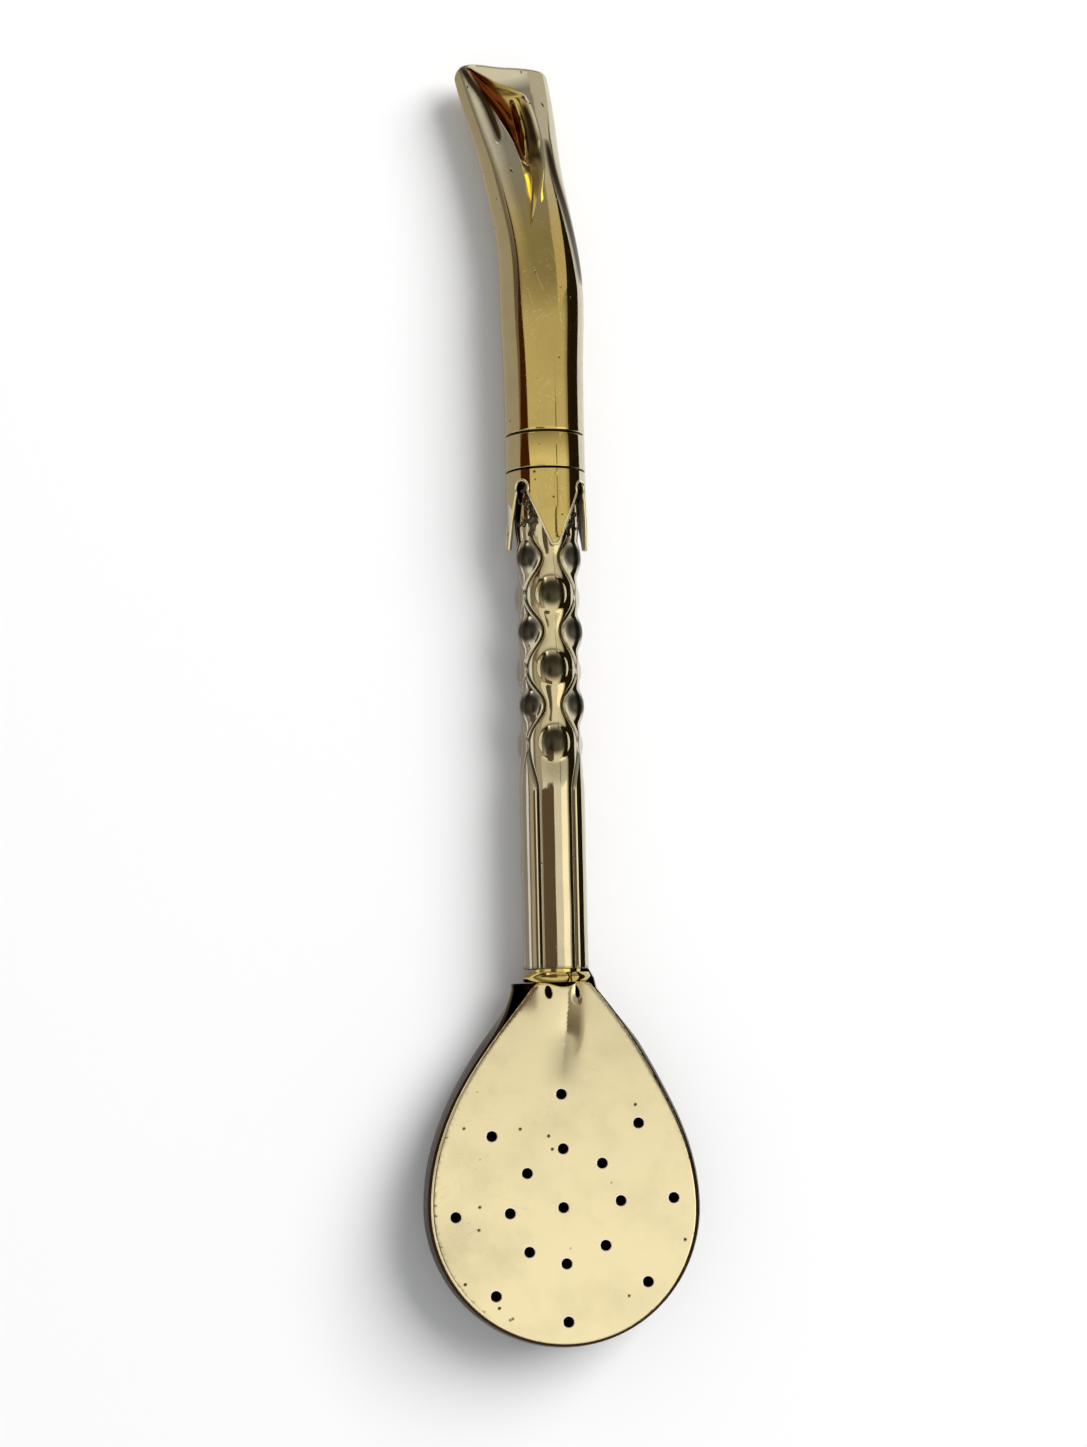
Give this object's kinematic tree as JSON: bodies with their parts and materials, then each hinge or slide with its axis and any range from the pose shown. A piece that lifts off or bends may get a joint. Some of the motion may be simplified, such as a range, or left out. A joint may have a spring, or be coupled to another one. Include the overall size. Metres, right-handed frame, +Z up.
{
  "type": "bombilla",
  "caption": "Metal drinking straw for mate with a bent, flattened mouthpiece, a petal collar, an embossed stem and a spoon-shaped strainer with a pierced flat face.",
  "frame": {"origin": "middle of the part's box, on the surface it lies on", "axes": "+Y along the stem towards the mouthpiece, +Z up out of the sieve's face, +X to the right seen from above with the mouthpiece away"},
  "size_m": [0.0382, 0.1798, 0.0125],
  "materials": {
    "yellow_brass": "polished, with fine pits",
    "nickel_silver": "polished, tarnished in the grooves",
    "pale_brass": "polished, with fine scratches"
  },
  "bodies": {
    "stem": {"stem_tube": "nickel_silver", "petal_collar": "yellow_brass", "collar_bush": "yellow_brass"},
    "beak": {"beak_tube": "yellow_brass", "beak_ring": "yellow_brass", "beak_plug": "yellow_brass"},
    "strainer": {"sieve_plate": "pale_brass", "strainer_dish": "pale_brass", "neck_plug": "yellow_brass", "neck_ring": "yellow_brass"}
  },
  "joints": [
    {"name": "beak_pull", "type": "slide", "parent": "stem", "child": "beak", "axis": [0, 1, 0], "range_m": [0, 0.016]},
    {"name": "strainer_pull", "type": "slide", "parent": "stem", "child": "strainer", "axis": [0, -1, 0], "range_m": [0, 0.016]}
  ]
}
